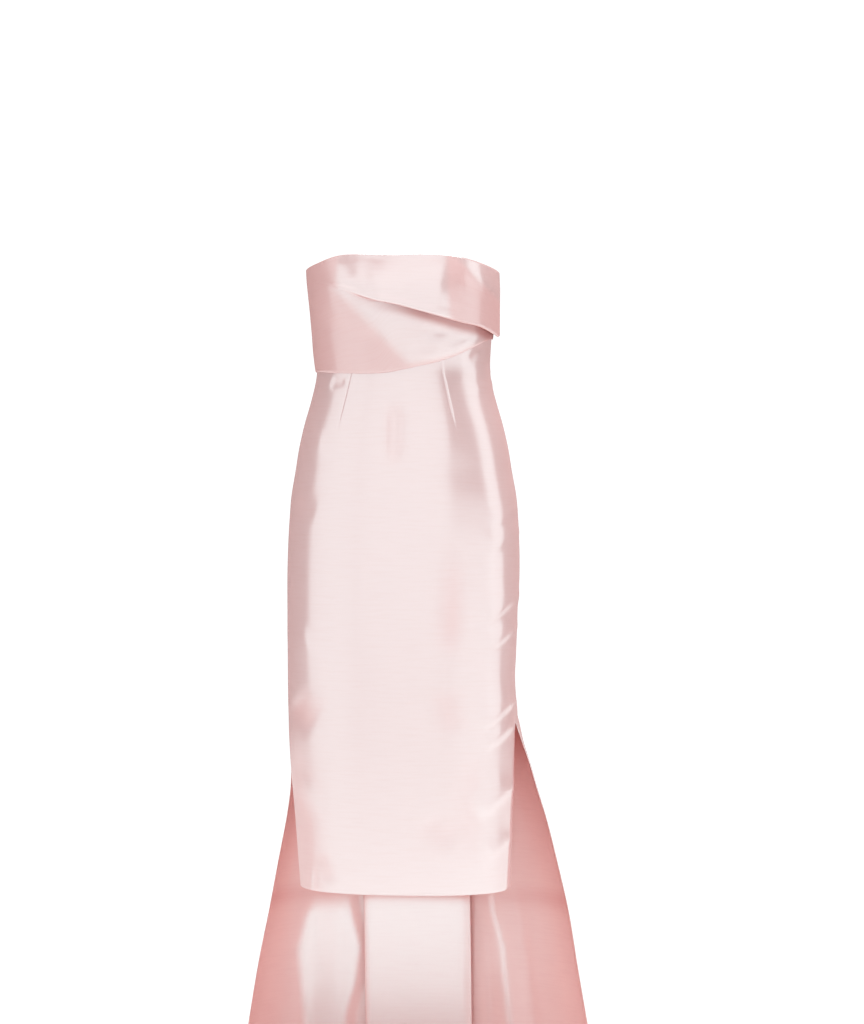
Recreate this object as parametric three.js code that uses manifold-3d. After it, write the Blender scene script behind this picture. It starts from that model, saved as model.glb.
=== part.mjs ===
import * as THREE from "three";
import { mergeVertices } from "three/addons/utils/BufferGeometryUtils.js";
import Module from "manifold-3d";

// Strapless column dress in stiff satin, kept in the form that it has when worn. The full-length front has
// two darts. A draped band crosses the bust, and its tuck is pinched into the side seam. Two back panels
// fall to the floor behind the side slits, and at centre back they open in an inverted pleat over an
// underlay. Millimetres, +Z up, front towards -Y, wearer's left towards +X, origin at the centre of the
// waist.

// Levels
const frontHem = -790;
const floorHem = -1140;
const slitTop = -530;
const pleatTop = -264;
const zipBottom = -204;
const backTopAtCentre = 150;

// Cloth
const clothThickness = 1.2;
const seamGap = 0.3;
const halfCloth = clothThickness / 2;

// Darts: distance from centre front at the waist and at the point, and how deep the crease is pressed
const dartAtWaist = 70;
const dartAtPoint = 92;
const dartPoint = -96;
const dartTop = 60;
const dartDepth = 1.6;
const dartHalfWidth = 3.5;

// Bust: where the two cups are fullest, and how far they round out from the section
const cupHeight = 128;
const cupReach = 0.58;
const cupRise = 4;

// Draped band: clearance over the front, bend radius and depth of the tuck, and where the tuck fades in
const bandClear = 1.7;
const bandTopClear = 1.3;
const tuckRadius = 1.7;
const tuckSoftRadius = 4;
const tuckDepth = 10;
const tuckFadesIn = { from: -0.72, to: 0.1 };

// Inverted pleat: half width of the underlay, width of the turned-under cloth above it, and radius of the
// fold edge
const pleatHalfWidth = 89;
const allowanceWidth = 12;
const foldRadiusTop = 1.1;
const foldRadiusHem = 2.2;
const foldOpening = { top: 1.5, hem: 12 };

// Concealed zip at centre back. The stem joins the slider's grip inside to its plate outside.
const coilHalfWidth = 3.5;
const coilThickness = 1.6;
const sliderHeight = 10;
const sliderHalfWidth = 3.5;
const sliderDepth = 3;
const earThickness = 1;
const earHeight = 4;
const earReach = 4.4;
const earClearance = 0.3;
const plateThickness = 0.8;
const plateClear = 0.6;
const stemHalfWidth = 1;
const stemOverlap = { inside: 1, outside: 0.4 };
const stemAboveBottom = 3;
const pinClear = 3.2;
const pinBelowTop = 3;
const pinRadius = 0.5;
const pinClearance = 0.2;
const barrelRadius = 1.2;
const tabWidth = 4;
const tabLength = 20;
const tabThickness = 1.2;
const notchBottom = 134;
const notchWidens = 5;

const satinColour = "#ecd9d8";
const satinInsideColour = "#e4c3c0";
const zipColour = "#d9b9b6";

// One row for each level of the fitted body, from the front hem up: half width between the side seams,
// depth before and behind the side seams, squareness of the section and sideways sway.
const bodySections = [
  { z: -790, halfWidth: 164, front: 98, back: 196, square: 2.4, sway: 1.8 },
  { z: -740, halfWidth: 166.5, front: 100, back: 189, square: 2.4, sway: 0.8 },
  { z: -671, halfWidth: 170, front: 102, back: 179, square: 2.4, sway: -1.2 },
  { z: -600, halfWidth: 173.5, front: 104, back: 169, square: 2.4, sway: -2.5 },
  { z: -530, halfWidth: 175.5, front: 106, back: 160, square: 2.4, sway: -3.1 },
  { z: -450, halfWidth: 176.7, front: 109, back: 150, square: 2.4, sway: -2.9 },
  { z: -374, halfWidth: 178.5, front: 111.5, back: 141, square: 2.4, sway: -1.6 },
  { z: -299, halfWidth: 180, front: 113, back: 134, square: 2.4, sway: 0 },
  { z: -225, halfWidth: 177.5, front: 113, back: 127, square: 2.4, sway: 0.6 },
  { z: -188, halfWidth: 174.5, front: 112, back: 123, square: 2.4, sway: 0.6 },
  { z: -150, halfWidth: 168, front: 110, back: 117, square: 2.4, sway: 0.4 },
  { z: -113, halfWidth: 162, front: 108, back: 109, square: 2.4, sway: 0.4 },
  { z: -76, halfWidth: 153.5, front: 105, back: 101, square: 2.4, sway: 0.4 },
  { z: -39, halfWidth: 143, front: 101, back: 93, square: 2.35, sway: 0.4 },
  { z: 0, halfWidth: 134.8, front: 98, back: 87, square: 2.3, sway: 0.4 },
  { z: 45, halfWidth: 135.5, front: 103, back: 87, square: 2.4, sway: 0.4 },
  { z: 90, halfWidth: 140, front: 113, back: 90, square: 2.6, sway: 0.4 },
  { z: 130, halfWidth: 144.5, front: 118, back: 92, square: 2.8, sway: 0.4 },
  { z: 180, halfWidth: 149, front: 115, back: 93, square: 2.8, sway: 0.2 },
];

// One row for each level of the back below the slits, from the floor up: how far out the free edge hangs on
// the wearer's left and right, how far behind the side seam it hangs, and the depth at centre back.
const trainSections = [
  { z: -1140, leftOut: 297.6, rightOut: 281.8, edgeBack: 122, back: 238 },
  { z: -1043, leftOut: 283.9, rightOut: 267.7, edgeBack: 119, back: 228 },
  { z: -927, leftOut: 264.8, rightOut: 247.3, edgeBack: 113, back: 214 },
  { z: -848, leftOut: 252.3, rightOut: 230.2, edgeBack: 107, back: 204 },
  { z: -769, leftOut: 235.1, rightOut: 214.1, edgeBack: 98, back: 193 },
  { z: -689, leftOut: 216.1, rightOut: 196.4, edgeBack: 81, back: 182 },
  { z: -647, leftOut: 204.3, rightOut: 188.5, edgeBack: 65, back: 176 },
  { z: -604, leftOut: 193.7, rightOut: 183.9, edgeBack: 42, back: 170 },
  { z: -571, leftOut: 184.2, rightOut: 181.7, edgeBack: 22, back: 165 },
];

// Squareness of the back's section, on the body and where the train hangs free
const backSquare = 2.3;
const trainSquare = 2;
const trainRoundBelow = -850;

// Soft flutes of the back: where each runs at the front hem's level and at the floor, and how far it stands
// towards the front at the floor.
const flutes = [
  { side: 1, outAtFrontHem: 118, outAtFloor: 165, width: 20, height: 7 },
  { side: -1, outAtFrontHem: 205, outAtFloor: 235, width: 26, height: -5 },
];

// Top edge of the front, from the wearer's right seam to the left seam
const topEdge = [
  { reach: -1, z: 158.5 },
  { reach: -0.8, z: 165.5 },
  { reach: -0.6, z: 173.5 },
  { reach: -0.3, z: 175.2 },
  { reach: 0, z: 174.5 },
  { reach: 0.3, z: 175.2 },
  { reach: 0.55, z: 173.2 },
  { reach: 0.76, z: 167 },
  { reach: 0.88, z: 162 },
  { reach: 1, z: 156.5 },
];

// The band's tuck line and lower edge, from the wearer's right seam to the pinch at the left seam, and how
// far the lower drape rounds out from the front.
const bandLines = [
  { reach: -1, tuck: 139, lower: 5, drape: 3.2 },
  { reach: -0.8, tuck: 134, lower: 0.5, drape: 3.4 },
  { reach: -0.58, tuck: 126, lower: -1.6, drape: 3.4 },
  { reach: -0.39, tuck: 114.6, lower: -2.4, drape: 3.2 },
  { reach: -0.2, tuck: 105, lower: -2, drape: 3 },
  { reach: 0.02, tuck: 98.2, lower: 1.5, drape: 2.8 },
  { reach: 0.31, tuck: 87, lower: 8.6, drape: 2.6 },
  { reach: 0.5, tuck: 79.5, lower: 14.7, drape: 2.4 },
  { reach: 0.68, tuck: 72.5, lower: 24, drape: 2 },
  { reach: 0.87, tuck: 67, lower: 40, drape: 1.4 },
  { reach: 1, tuck: 58, lower: 54, drape: 0.6 },
];

// Rows of each wall, from its hem up
const frontSpans = [
  { to: slitTop, rows: 4 },
  { to: -200, rows: 5 },
  { to: 60, rows: 9 },
  { to: "top", rows: 5 },
];
const pleatSpans = [
  { to: -700, rows: 7 },
  { to: slitTop, rows: 4 },
  { to: pleatTop, rows: 4 },
];
const backSpans = [
  ...pleatSpans,
  { to: zipBottom, rows: 1 },
  { to: notchBottom, rows: 8 },
  { to: notchBottom + notchWidens, rows: 1 },
  { to: "top", rows: 1 },
];

const frontColumns = { side: 7, centre: 9 };
const bandColumns = 24;
const bandRows = { upper: 6, bend: 4, under: 1, lower: 8 };
const backColumns = { run: 11, bend: 4, return: 3 };

function smoothStep(from, to, value) {
  const share = THREE.MathUtils.clamp((value - from) / (to - from), 0, 1);
  return share * share * (3 - 2 * share);
}

function bell(distance, width) {
  return Math.exp(-0.5 * (distance / width) ** 2);
}

// Smooth curve through one column of a table that rises in its key
function valueAt(table, key, column, position) {
  const last = table.length - 1;
  if (position <= table[0][key]) return table[0][column];
  if (position >= table[last][key]) return table[last][column];
  let row = 0;
  while (table[row + 1][key] < position) row += 1;
  const slopeBetween = (index) => {
    const from = table[index];
    const to = table[index + 1];
    return (to[column] - from[column]) / (to[key] - from[key]);
  };
  const slopeAt = (index) => {
    if (index === 0) return slopeBetween(0);
    if (index === last) return slopeBetween(last - 1);
    const before = table[index][key] - table[index - 1][key];
    const after = table[index + 1][key] - table[index][key];
    return (slopeBetween(index - 1) * after + slopeBetween(index) * before) / (before + after);
  };
  const step = table[row + 1][key] - table[row][key];
  const t = (position - table[row][key]) / step;
  const start = table[row][column] * (2 * t ** 3 - 3 * t ** 2 + 1);
  const end = table[row + 1][column] * (3 * t ** 2 - 2 * t ** 3);
  const startSlope = slopeAt(row) * step * (t ** 3 - 2 * t ** 2 + t);
  const endSlope = slopeAt(row + 1) * step * (t ** 3 - t ** 2);
  return start + end + startSlope + endSlope;
}

function body(column, z) {
  return valueAt(bodySections, "z", column, z);
}

function signedPower(value, exponent) {
  return Math.sign(value) * Math.abs(value) ** exponent;
}

// Levels of a wall's rows: the last span runs on to the wall's own top edge
function levelsOf(spans, hem) {
  const levels = [{ from: hem, share: 0, to: hem }];
  let from = hem;
  for (const span of spans) {
    for (let row = 1; row <= span.rows; row += 1) {
      levels.push({ from, to: span.to, share: row / span.rows });
    }
    from = span.to;
  }
  return levels;
}

function heightOf(level, top) {
  const to = level.to === "top" ? top : level.to;
  return THREE.MathUtils.lerp(level.from, to, level.share);
}

// Front section: across runs from -1 at the wearer's right seam to 1 at the left seam
function frontOutline(across, z) {
  const angle = (across * Math.PI) / 2;
  const power = 2 / body("square", z);
  const depth = body("front", z) - seamGap / 2;
  const x = body("sway", z) + body("halfWidth", z) * signedPower(Math.sin(angle), power);
  const y = -seamGap / 2 - depth * Math.abs(Math.cos(angle)) ** power;
  return new THREE.Vector2(x, y);
}

function reachOf(across, z) {
  return signedPower(Math.sin((across * Math.PI) / 2), 2 / body("square", z));
}

function acrossOf(x, z) {
  const reach = Math.abs(x) / body("halfWidth", z);
  return (Math.asin(reach ** (body("square", z) / 2)) * 2) / Math.PI;
}

function outwardOf(before, after) {
  const along = after.clone().sub(before).normalize();
  return new THREE.Vector2(along.y, -along.x);
}

function frontPoint(across, z, outset) {
  const reach = reachOf(across, z);
  const cups = bell(reach - cupReach, 0.2) + bell(reach + cupReach, 0.2);
  const rise = cupRise * bell(z - cupHeight, 40) * cups;
  const step = 0.004;
  const before = frontOutline(Math.max(across - step, -1), z);
  const after = frontOutline(Math.min(across + step, 1), z);
  const atSeam = 1 - Math.abs(across) < 1e-6;
  const outward = atSeam ? new THREE.Vector2(Math.sign(across), 0) : outwardOf(before, after);
  const point = frontOutline(across, z).addScaledVector(outward, outset + rise);
  return new THREE.Vector3(point.x, point.y, z);
}

// A closed wall from a grid of pairs of points, one on the outer face and one on the inner. The first
// columns can be split along the other diagonal, so that they match a mirrored wall.
function clothWall(name, colour, rowCount, columnCount, facesAt, mirroredColumns = 0) {
  const outer = [];
  const inner = [];
  for (let row = 0; row <= rowCount; row += 1) {
    for (let column = 0; column <= columnCount; column += 1) {
      const faces = facesAt(row, column);
      outer.push(...faces.outer.toArray());
      inner.push(...faces.inner.toArray());
    }
  }
  const stride = columnCount + 1;
  const behind = (rowCount + 1) * stride;
  const indices = [];
  const addQuad = (a, b, c, d, mirrored = false) => {
    if (mirrored) indices.push(b, c, d, b, d, a);
    else indices.push(a, b, c, a, c, d);
  };
  for (let row = 0; row < rowCount; row += 1) {
    for (let column = 0; column < columnCount; column += 1) {
      const at = row * stride + column;
      const mirrored = column < mirroredColumns;
      addQuad(at, at + 1, at + 1 + stride, at + stride, mirrored);
      addQuad(behind + at, behind + at + stride, behind + at + stride + 1, behind + at + 1, mirrored);
    }
    const first = row * stride;
    const last = first + columnCount;
    addQuad(first, first + stride, behind + first + stride, behind + first);
    addQuad(last + stride, last, behind + last, behind + last + stride);
  }
  const topRow = rowCount * stride;
  for (let column = 0; column < columnCount; column += 1) {
    const top = topRow + column;
    addQuad(column + 1, column, behind + column, behind + column + 1);
    addQuad(top, top + 1, behind + top + 1, behind + top);
  }
  const geometry = new THREE.BufferGeometry();
  geometry.setAttribute("position", new THREE.Float32BufferAttribute([...outer, ...inner], 3));
  geometry.setIndex(indices);
  return facingOut(name, geometry, colour, 0.45);
}

// Turns the faces round where the grid was walked the other way, and makes the named mesh
function facingOut(name, geometry, colour, roughness) {
  const corners = geometry.getAttribute("position");
  const index = geometry.getIndex();
  const a = new THREE.Vector3();
  const b = new THREE.Vector3();
  const c = new THREE.Vector3();
  let volume = 0;
  for (let at = 0; at < index.count; at += 3) {
    a.fromBufferAttribute(corners, index.getX(at));
    b.fromBufferAttribute(corners, index.getX(at + 1));
    c.fromBufferAttribute(corners, index.getX(at + 2));
    volume += a.dot(b.cross(c));
  }
  if (volume < 0) index.array.reverse();
  geometry.computeVertexNormals();
  const material = new THREE.MeshStandardMaterial({ color: colour, roughness, metalness: 0 });
  const mesh = new THREE.Mesh(geometry, material);
  mesh.name = name;
  return mesh;
}

// Full-length front
function frontTop(across) {
  return valueAt(topEdge, "reach", "z", reachOf(across, 170));
}

function dartAcross(z) {
  const share = THREE.MathUtils.clamp(z / dartPoint, 0, 1);
  const level = THREE.MathUtils.clamp(z, dartPoint, 0);
  return acrossOf(THREE.MathUtils.lerp(dartAtWaist, dartAtPoint, share), level);
}

function frontAcross(column, z) {
  const dart = dartAcross(z);
  const margin = dartHalfWidth / body("halfWidth", z);
  const stops = [-1, -dart - margin, -dart, -dart + margin, dart - margin, dart, dart + margin, 1];
  const counts = [frontColumns.side, 1, 1, frontColumns.centre, 1, 1, frontColumns.side];
  let left = column;
  let stop = 0;
  while (left > counts[stop]) {
    left -= counts[stop];
    stop += 1;
  }
  return THREE.MathUtils.lerp(stops[stop], stops[stop + 1], left / counts[stop]);
}

function dartPress(across, z) {
  const fades = smoothStep(dartPoint, dartPoint + 45, z) * (1 - smoothStep(dartTop - 30, dartTop, z));
  const onCrease = Math.abs(Math.abs(across) - dartAcross(z)) < 1e-6;
  return onCrease ? dartDepth * fades : 0;
}

function makeFront() {
  const levels = levelsOf(frontSpans, frontHem);
  const columnCount = 2 * frontColumns.side + frontColumns.centre + 4;
  return clothWall("front_panel", satinColour, levels.length - 1, columnCount, (row, column) => {
    const middle = heightOf(levels[row], frontTop(0));
    const across = frontAcross(column, middle);
    const z = heightOf(levels[row], frontTop(across) - 2);
    const press = dartPress(across, middle);
    return {
      outer: frontPoint(across, z, -press),
      inner: frontPoint(across, z, -press - clothThickness),
    };
  });
}

// The band's profile at one place, from its top edge down: distance out from the front, and height. The tuck
// turns the cloth inwards and up and then down again, and where it fades the turn gets smaller and softer.
function bandProfile(across) {
  const reach = reachOf(across, 90);
  const top = frontTop(across);
  const tuck = valueAt(bandLines, "reach", "tuck", reach);
  const lower = valueAt(bandLines, "reach", "lower", reach);
  const drape = valueAt(bandLines, "reach", "drape", reach);
  const strength = Math.max(smoothStep(tuckFadesIn.from, tuckFadesIn.to, reach), 0.07);
  const turn = strength * Math.PI;
  const radius = tuckRadius + tuckSoftRadius * (1 - strength) ** 2;
  const under = 1 + (tuckDepth - 1) * smoothStep(0.5, 1, strength);
  const outset = 2 * radius * (1 - Math.cos(turn)) + under * Math.sin(turn);
  const foldOut = bandClear + outset;
  const foldZ = tuck + halfCloth + radius * Math.sin(Math.min(turn, Math.PI / 2));
  const profile = [];
  for (let row = 0; row < bandRows.upper; row += 1) {
    const share = row / bandRows.upper;
    profile.push(new THREE.Vector2(
      THREE.MathUtils.lerp(bandTopClear, foldOut, share),
      THREE.MathUtils.lerp(top, foldZ, share),
    ));
  }
  for (let row = 0; row <= bandRows.bend; row += 1) {
    const angle = (turn * row) / bandRows.bend;
    profile.push(new THREE.Vector2(
      foldOut - radius * (1 - Math.cos(angle)),
      foldZ - radius * Math.sin(angle),
    ));
  }
  const hidden = profile[profile.length - 1].clone();
  hidden.x -= under * Math.sin(turn);
  hidden.y -= under * Math.cos(turn);
  for (let row = 0; row <= bandRows.bend; row += 1) {
    const angle = turn * (1 - row / bandRows.bend);
    profile.push(new THREE.Vector2(
      hidden.x - radius * (Math.cos(angle) - Math.cos(turn)),
      hidden.y - radius * (Math.sin(turn) - Math.sin(angle)),
    ));
  }
  const start = profile[profile.length - 1];
  for (let row = 1; row <= bandRows.lower; row += 1) {
    const share = row / bandRows.lower;
    const rounded = Math.sin(Math.PI * share ** 1.4) ** 0.8;
    profile.push(new THREE.Vector2(
      start.x + drape * rounded,
      THREE.MathUtils.lerp(start.y, lower, share),
    ));
  }
  return profile;
}

function makeBand() {
  const profiles = [];
  const rowCount = bandProfile(0).length - 1;
  return clothWall("draped_band", satinColour, rowCount, bandColumns, (row, column) => {
    const across = (2 * column) / bandColumns - 1;
    profiles[column] ??= bandProfile(across);
    const profile = profiles[column];
    const here = profile[row];
    const before = profile[Math.max(row - 1, 0)];
    const after = profile[Math.min(row + 1, rowCount)];
    const along = after.clone().sub(before).normalize();
    const out = new THREE.Vector2(-along.y, along.x).multiplyScalar(halfCloth);
    return {
      outer: frontPoint(across, here.y + out.y, here.x + out.x),
      inner: frontPoint(across, here.y - out.y, here.x - out.x),
    };
  });
}

// Back: the side edge follows the body down to the slit and then hangs free
const edgeSections = [
  ...trainSections,
  {
    z: slitTop,
    leftOut: body("halfWidth", slitTop) + body("sway", slitTop),
    rightOut: body("halfWidth", slitTop) - body("sway", slitTop),
    edgeBack: 0,
    back: body("back", slitTop),
  },
];

function backEdge(side, z) {
  if (z >= slitTop) {
    return {
      out: body("halfWidth", z) + side * body("sway", z),
      behind: seamGap / 2,
      depth: body("back", z),
    };
  }
  return {
    out: valueAt(edgeSections, "z", side > 0 ? "leftOut" : "rightOut", z),
    behind: seamGap / 2 + valueAt(edgeSections, "z", "edgeBack", z),
    depth: valueAt(edgeSections, "z", "back", z),
  };
}

function backSquareAt(z) {
  return THREE.MathUtils.lerp(backSquare, trainSquare, smoothStep(slitTop, trainRoundBelow, z));
}

// turn runs from 0 at the side edge to 1 at centre back
function backOutline(side, turn, z) {
  const edge = backEdge(side, z);
  const power = 2 / backSquareAt(z);
  const angle = (turn * Math.PI) / 2;
  const swell = 7 * bell(z - slitTop, 28) * Math.sin(Math.PI * Math.min(turn / 0.4, 1)) ** 2;
  const out = edge.out * Math.abs(Math.cos(angle)) ** power + swell;
  let y = edge.behind + (edge.depth - edge.behind) * Math.abs(Math.sin(angle)) ** power;
  const fall = smoothStep(slitTop - 80, floorHem, z);
  for (const flute of flutes) {
    if (flute.side !== side) continue;
    const share = (z - frontHem) / (floorHem - frontHem);
    const centre = THREE.MathUtils.lerp(flute.outAtFrontHem, flute.outAtFloor, share);
    y -= flute.height * fall * bell(out - centre, flute.width) * smoothStep(0, 0.2, turn);
  }
  return new THREE.Vector2(side * out, y);
}

function backPoint(side, turn, z, inset) {
  const step = 0.004;
  const before = backOutline(side, Math.max(turn - step, 0), z);
  const after = backOutline(side, Math.min(turn + step, 1), z);
  const atEdge = turn < 1e-6;
  const outward = atEdge ? new THREE.Vector2(side, 0) : outwardOf(before, after).multiplyScalar(side);
  const point = backOutline(side, turn, z).addScaledVector(outward, -inset);
  return new THREE.Vector3(point.x, point.y, z);
}

function turnAt(side, x, z) {
  const share = Math.min(x / backEdge(side, z).out, 1);
  return (Math.acos(share ** (backSquareAt(z) / 2)) * 2) / Math.PI;
}

function foldRadius(z) {
  return THREE.MathUtils.lerp(foldRadiusTop, foldRadiusHem, smoothStep(pleatTop, floorHem, z));
}

// Half the gap between the two fold edges at centre back
function foldGap(z) {
  const open = THREE.MathUtils.lerp(0, foldOpening.hem, smoothStep(pleatTop, floorHem, z));
  const notch = foldOpening.top * smoothStep(notchBottom, notchBottom + notchWidens, z);
  return seamGap / 2 + open + notch;
}

function returnWidth(z) {
  const share = 1 - smoothStep(pleatTop, zipBottom, z);
  return THREE.MathUtils.lerp(allowanceWidth, pleatHalfWidth, share);
}

// How far the end of the turned-under cloth stands in from the outer run
function returnInset(z) {
  return halfCloth + 2 * foldRadius(z) + 6 * smoothStep(pleatTop, -800, z);
}

// Place on the turned-under cloth, from the fold edge to the cloth's end
function returnTurn(side, z, share) {
  const foldX = foldGap(z) + foldRadius(z) + halfCloth;
  return turnAt(side, THREE.MathUtils.lerp(foldX, returnWidth(z), share), z);
}

function backTop(side, turn) {
  const atSeam = side > 0 ? 157 : 159.5;
  return THREE.MathUtils.lerp(atSeam, backTopAtCentre, smoothStep(0, 1, turn));
}

function makeBack(name, side) {
  const levels = levelsOf(backSpans, floorHem);
  const columnCount = backColumns.run + backColumns.bend + backColumns.return;
  return clothWall(name, satinColour, levels.length - 1, columnCount, (row, column) => {
    const runShare = Math.min(column / backColumns.run, 1);
    const z = heightOf(levels[row], backTop(side, runShare));
    const radius = foldRadius(z);
    const foldTurn = returnTurn(side, z, 0);
    if (column <= backColumns.run) {
      const turn = foldTurn * runShare;
      return {
        outer: backPoint(side, turn, z, 0),
        inner: backPoint(side, turn, z, clothThickness),
      };
    }
    if (column <= backColumns.run + backColumns.bend) {
      const angle = (Math.PI * (column - backColumns.run)) / backColumns.bend;
      const centre = backPoint(side, foldTurn, z, halfCloth + radius);
      const away = backPoint(side, foldTurn, z, 0).sub(centre).normalize();
      const round = new THREE.Vector3(0, 0, side).cross(away);
      const spoke = away.multiplyScalar(Math.cos(angle)).addScaledVector(round, Math.sin(angle));
      return {
        outer: centre.clone().addScaledVector(spoke, radius + halfCloth),
        inner: centre.clone().addScaledVector(spoke, radius - halfCloth),
      };
    }
    const share = (column - backColumns.run - backColumns.bend) / backColumns.return;
    const turn = returnTurn(side, z, share);
    const inset = THREE.MathUtils.lerp(halfCloth + 2 * radius, returnInset(z), share);
    return {
      outer: backPoint(side, turn, z, inset + halfCloth),
      inner: backPoint(side, turn, z, inset - halfCloth),
    };
  });
}

// The pleat's underlay lies inside the ends of the turned-under cloth
function makeUnderlay() {
  const levels = levelsOf(pleatSpans, floorHem);
  const half = backColumns.return;
  const columnCount = 2 * half + 1;
  return clothWall("pleat_underlay", satinInsideColour, levels.length - 1, columnCount, (row, column) => {
    const z = heightOf(levels[row], pleatTop);
    const side = column <= half ? -1 : 1;
    const share = side < 0 ? 1 - column / half : (column - half - 1) / half;
    const turn = returnTurn(side, z, share);
    const inset = returnInset(z) + halfCloth + seamGap;
    return {
      outer: backPoint(side, turn, z, inset),
      inner: backPoint(side, turn, z, inset + clothThickness),
    };
  }, half);
}

// Zip: the coil lies inside the turned-under edges
const coilInset = clothThickness + 2 * foldRadiusTop + seamGap;
const sliderBottom = notchBottom + 3;
const sliderTop = sliderBottom + sliderHeight;

function makeCoil() {
  const heights = levelsOf(backSpans, floorHem)
    .map((level) => heightOf(level, backTopAtCentre))
    .filter((z) => z >= zipBottom && z < sliderBottom);
  heights.push(sliderBottom - seamGap);
  return clothWall("zip_coil", zipColour, heights.length - 1, 2, (row, column) => {
    const z = heights[row];
    const x = (column - 1) * coilHalfWidth;
    const y = body("back", z) - coilInset;
    return {
      outer: new THREE.Vector3(x, y, z),
      inner: new THREE.Vector3(x, y - coilThickness, z),
    };
  });
}

const wasm = await Module();
wasm.setup();

function toSolid(geometry) {
  const bare = geometry.clone();
  bare.deleteAttribute("normal");
  bare.deleteAttribute("uv");
  const merged = mergeVertices(bare, 1e-4);
  const mesh = new wasm.Mesh({
    numProp: 3,
    vertProperties: Float32Array.from(merged.getAttribute("position").array),
    triVerts: Uint32Array.from(merged.getIndex().array),
  });
  return new wasm.Manifold(mesh);
}

function toMesh(name, solid, colour) {
  const cut = solid.getMesh();
  const geometry = new THREE.BufferGeometry();
  geometry.setAttribute("position", new THREE.Float32BufferAttribute(cut.vertProperties, 3));
  geometry.setIndex(Array.from(cut.triVerts));
  return facingOut(name, geometry, colour, 0.5);
}

function boxSolid(from, to) {
  const size = to.clone().sub(from);
  const box = new THREE.BoxGeometry(size.x, size.y, size.z);
  box.translate((from.x + to.x) / 2, (from.y + to.y) / 2, (from.z + to.z) / 2);
  return toSolid(box);
}

function rodSolid(radius, halfLength, centre) {
  const rod = new THREE.CylinderGeometry(radius, radius, 2 * halfLength, 16);
  rod.rotateZ(Math.PI / 2);
  rod.translate(centre.x, centre.y, centre.z);
  return toSolid(rod);
}

const backFace = body("back", backTopAtCentre);
const pinAt = new THREE.Vector3(0, backFace + pinClear, sliderTop - pinBelowTop);
const earInside = tabWidth / 2 + earClearance;

// Slider: its body grips the coil inside, its stem comes out through the notch, and two ears carry the pin
function makeSlider() {
  const inside = backFace - coilInset;
  const outside = backFace + plateClear;
  const earBottom = pinAt.z - earHeight / 2;
  const earTop = pinAt.z + earHeight / 2;
  const earOutside = earInside + earThickness;
  const grip = boxSolid(
    new THREE.Vector3(-sliderHalfWidth, inside - sliderDepth, sliderBottom),
    new THREE.Vector3(sliderHalfWidth, inside, sliderTop),
  );
  const stem = boxSolid(
    new THREE.Vector3(-stemHalfWidth, inside - stemOverlap.inside, sliderBottom + stemAboveBottom),
    new THREE.Vector3(stemHalfWidth, outside + stemOverlap.outside, sliderTop),
  );
  const plate = boxSolid(
    new THREE.Vector3(-earOutside, outside, earBottom),
    new THREE.Vector3(earOutside, outside + plateThickness, earTop),
  );
  const ears = [-earOutside, earInside].map((from) => boxSolid(
    new THREE.Vector3(from, outside, earBottom),
    new THREE.Vector3(from + earThickness, outside + earReach, earTop),
  ));
  const bore = rodSolid(pinRadius + pinClearance, earInside + 2 * earThickness, pinAt);
  const whole = grip.add(stem).add(plate).add(ears[0]).add(ears[1]).subtract(bore);
  return toMesh("zip_slider", whole, zipColour);
}

function makePull() {
  const barrel = rodSolid(barrelRadius, tabWidth / 2, pinAt);
  const pin = rodSolid(pinRadius, earInside + earThickness, pinAt);
  const tab = boxSolid(
    new THREE.Vector3(-tabWidth / 2, pinAt.y - tabThickness / 2, pinAt.z - tabLength),
    new THREE.Vector3(tabWidth / 2, pinAt.y + tabThickness / 2, pinAt.z),
  );
  return toMesh("zip_pull", barrel.add(pin).add(tab), zipColour);
}

const dress = new THREE.Group();
dress.add(
  makeFront(),
  makeBand(),
  makeBack("back_left", 1),
  makeBack("back_right", -1),
  makeUnderlay(),
  makeCoil(),
  makeSlider(),
  makePull(),
);

export default dress;
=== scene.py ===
import math

import bpy
import numpy as np
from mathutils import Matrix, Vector


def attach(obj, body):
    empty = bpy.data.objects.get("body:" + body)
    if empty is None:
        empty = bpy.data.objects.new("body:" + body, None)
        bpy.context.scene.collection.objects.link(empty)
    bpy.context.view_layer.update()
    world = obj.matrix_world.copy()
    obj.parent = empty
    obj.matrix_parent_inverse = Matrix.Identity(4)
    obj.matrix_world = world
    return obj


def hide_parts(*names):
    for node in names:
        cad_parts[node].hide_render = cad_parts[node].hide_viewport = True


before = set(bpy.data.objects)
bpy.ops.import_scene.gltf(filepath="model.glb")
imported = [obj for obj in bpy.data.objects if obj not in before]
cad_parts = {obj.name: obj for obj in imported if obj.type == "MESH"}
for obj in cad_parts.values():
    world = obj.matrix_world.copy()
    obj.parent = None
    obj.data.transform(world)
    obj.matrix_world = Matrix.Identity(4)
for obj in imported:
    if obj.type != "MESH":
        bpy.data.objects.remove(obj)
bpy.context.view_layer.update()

scene = bpy.context.scene

# Sizes are in millimetres until a mesh is made. The tables down to bandLines hold the solids' own sizes.
frontHem, floorHem, slitTop = -790, -1140, -530
pleatTop, zipBottom = -264, -204
backTopAtCentre, backTopAtSeam = 150, {1: 157, -1: 159.5}  # 1 is the wearer's left, -1 the right
seamGap, wallHalf = 0.3, 0.6  # wallHalf is half of a solid's cloth wall
thickness = 1.0  # the cloth here, a little thinner than the solid's wall

# the camera and the studio are in metres and degrees
camera = {
    "at": (0.4098, -3.4762, -0.212),  # level with the hips, a little to the wearer's left of centre front
    "turn": 6.0,
    "lens": 79.38,
    "sensor": 36.0,
}

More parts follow.
